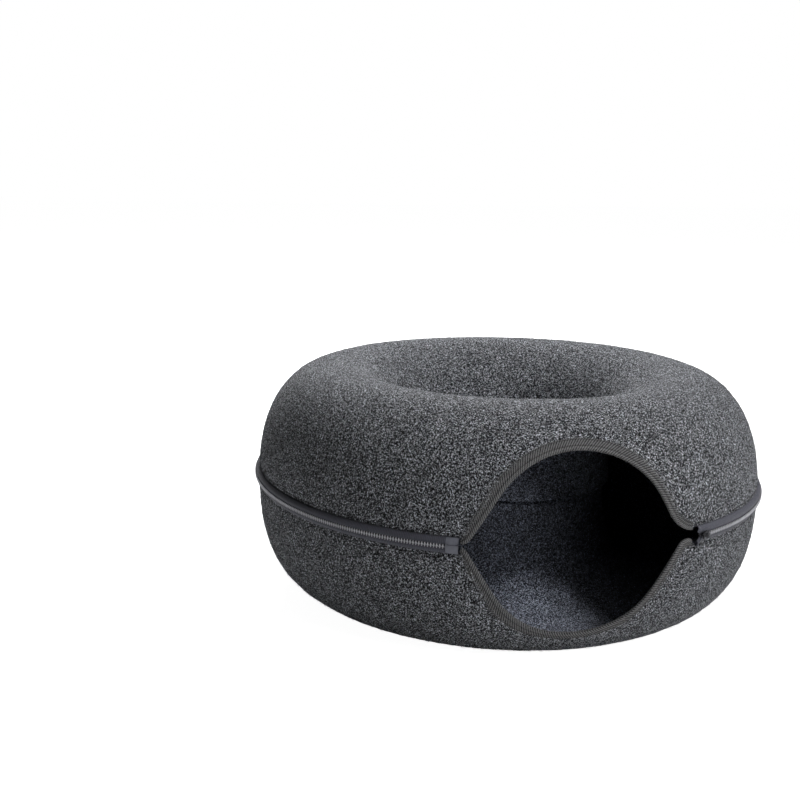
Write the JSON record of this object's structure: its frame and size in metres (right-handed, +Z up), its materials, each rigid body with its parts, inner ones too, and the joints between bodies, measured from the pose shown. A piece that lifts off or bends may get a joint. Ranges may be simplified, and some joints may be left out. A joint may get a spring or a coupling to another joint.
{
  "type": "felt cat cave",
  "caption": "Hollow ring-shaped cat bed of stiff grey felt in two zipped halves, with a bound round opening at the front and a hole through the middle.",
  "frame": {"origin": "middle of the bounding box's underside, on the surface that the flat foot ring rests on", "axes": "+Z up, along the centre hole; -Y out of the round opening at the front; +X towards the zip's slider"},
  "size_m": [0.6086, 0.5951, 0.2628],
  "materials": {
    "felt": "needled polyester felt, charcoal heather, matt and slightly hairy",
    "binding_tape": "twill-woven grey binding tape, matt",
    "zip_tape": "close-woven grey zip tape, slight sheen",
    "zip_coil": "nylon coil, satin",
    "slider_metal": "dark lacquered die-cast zinc, satin"
  },
  "bodies": {
    "root": {"upper_shell": "felt", "lower_shell": "felt", "upper_binding": "binding_tape", "lower_binding": "binding_tape", "upper_zip_tape": "zip_tape", "lower_zip_tape": "zip_tape", "zip_coil": "zip_coil", "zip_slider": "slider_metal"}
  },
  "joints": []
}
